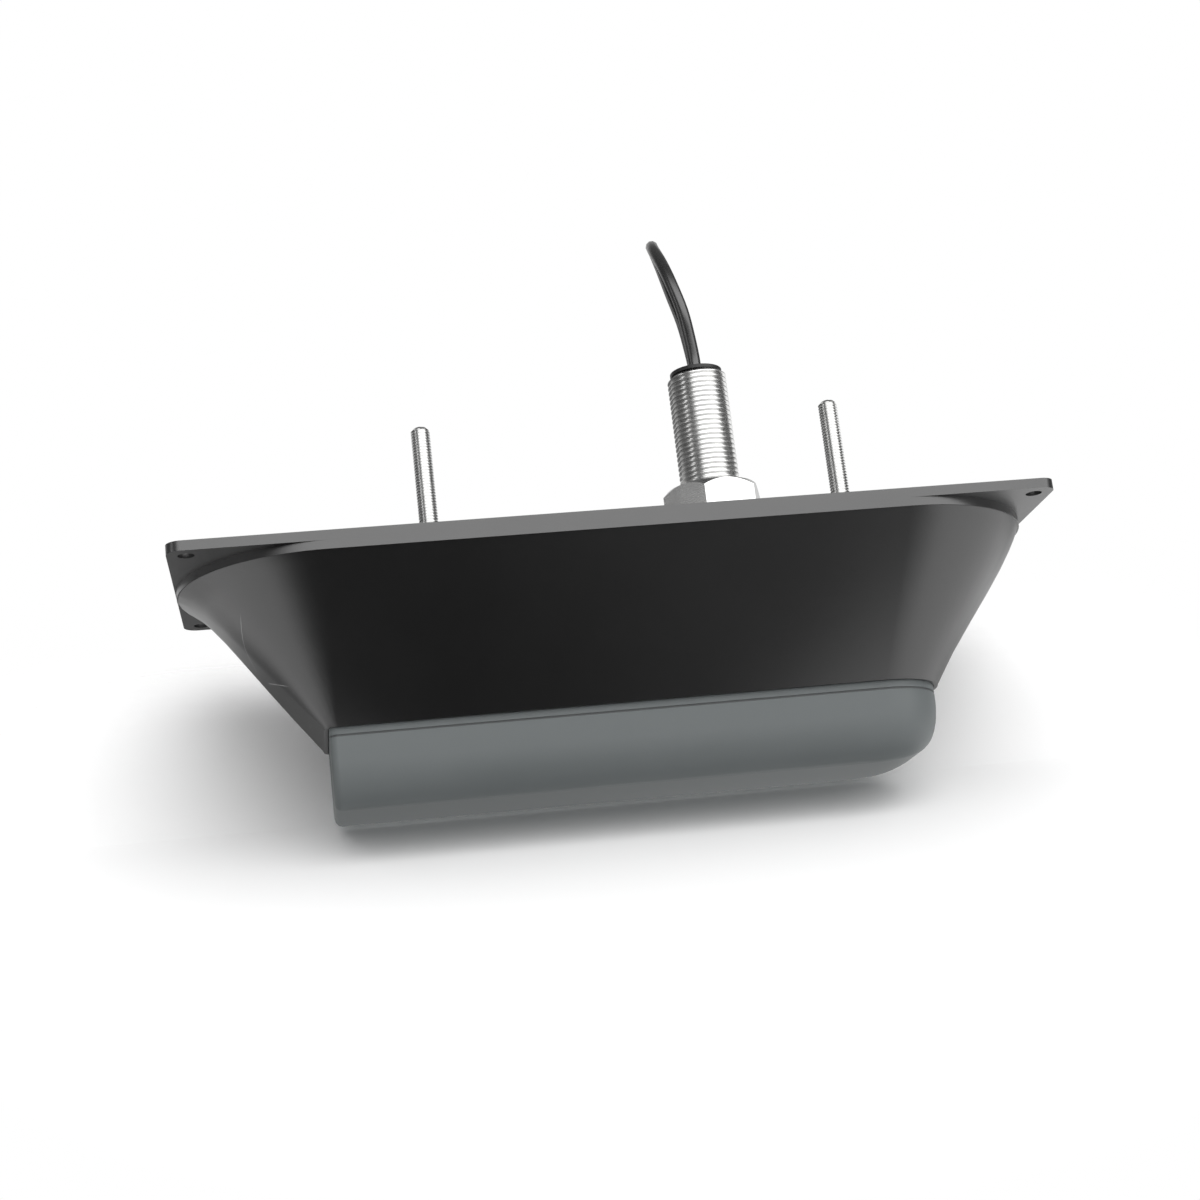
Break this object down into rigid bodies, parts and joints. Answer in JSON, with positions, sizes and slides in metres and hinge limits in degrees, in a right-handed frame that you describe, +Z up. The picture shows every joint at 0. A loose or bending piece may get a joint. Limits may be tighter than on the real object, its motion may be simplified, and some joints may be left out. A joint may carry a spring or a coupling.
{
  "type": "sonar transducer",
  "caption": "Through-hull side-looking sonar transducer: grey sounding housing under a black tapered fairing with a screw flange, a threaded stem with nut, threaded studs and a coiled cable.",
  "frame": {"origin": "Under the centre of the flange, on the plane of the housing's flat sole", "axes": "+Z up along the stem, +X towards the nose, +Y to port"},
  "size_m": [0.35, 0.257, 0.2502],
  "materials": {
    "fairing_plastic": "moulded, satin",
    "housing_plastic": "moulded, satin",
    "seal_rubber": "matt",
    "stainless": "turned and rolled thread",
    "cable_jacket": "satin",
    "bush_plastic": "satin",
    "element_ceramic": "fired, silvered faces",
    "backing": "cork and rubber",
    "facing": "filled resin",
    "carrier_foam": "rigid foam",
    "board": "solder mask",
    "probe_metal": "turned",
    "tie_nylon": "satin",
    "plug_shell_plastic": "satin",
    "plug_insert_plastic": "moulded"
  },
  "bodies": {
    "root": {"fairing_block": "fairing_plastic", "housing_shell": "housing_plastic", "lid_seal": "seal_rubber", "housing_lid": "housing_plastic", "stem": "stainless", "stem_washer": "stainless", "stem_nut": "stainless", "stud_front": "stainless", "stud_rear": "stainless", "cable_bush": "bush_plastic", "stem_leads": "cable_jacket", "element_carrier": "carrier_foam", "down_backing": "backing", "down_element": "element_ceramic", "down_facing": "facing", "port_backing": "backing", "port_element": "element_ceramic", "port_facing": "facing", "starboard_backing": "backing", "starboard_element": "element_ceramic", "starboard_facing": "facing", "circuit_board": "board", "temperature_probe": "probe_metal", "cable_lead": "cable_jacket", "cable_coil": "cable_jacket", "coil_tie_left": "tie_nylon", "coil_tie_right": "tie_nylon", "cable_tail": "cable_jacket", "plug_grip": "cable_jacket", "plug_shell": "plug_shell_plastic", "plug_insert": "plug_insert_plastic"}
  },
  "joints": []
}
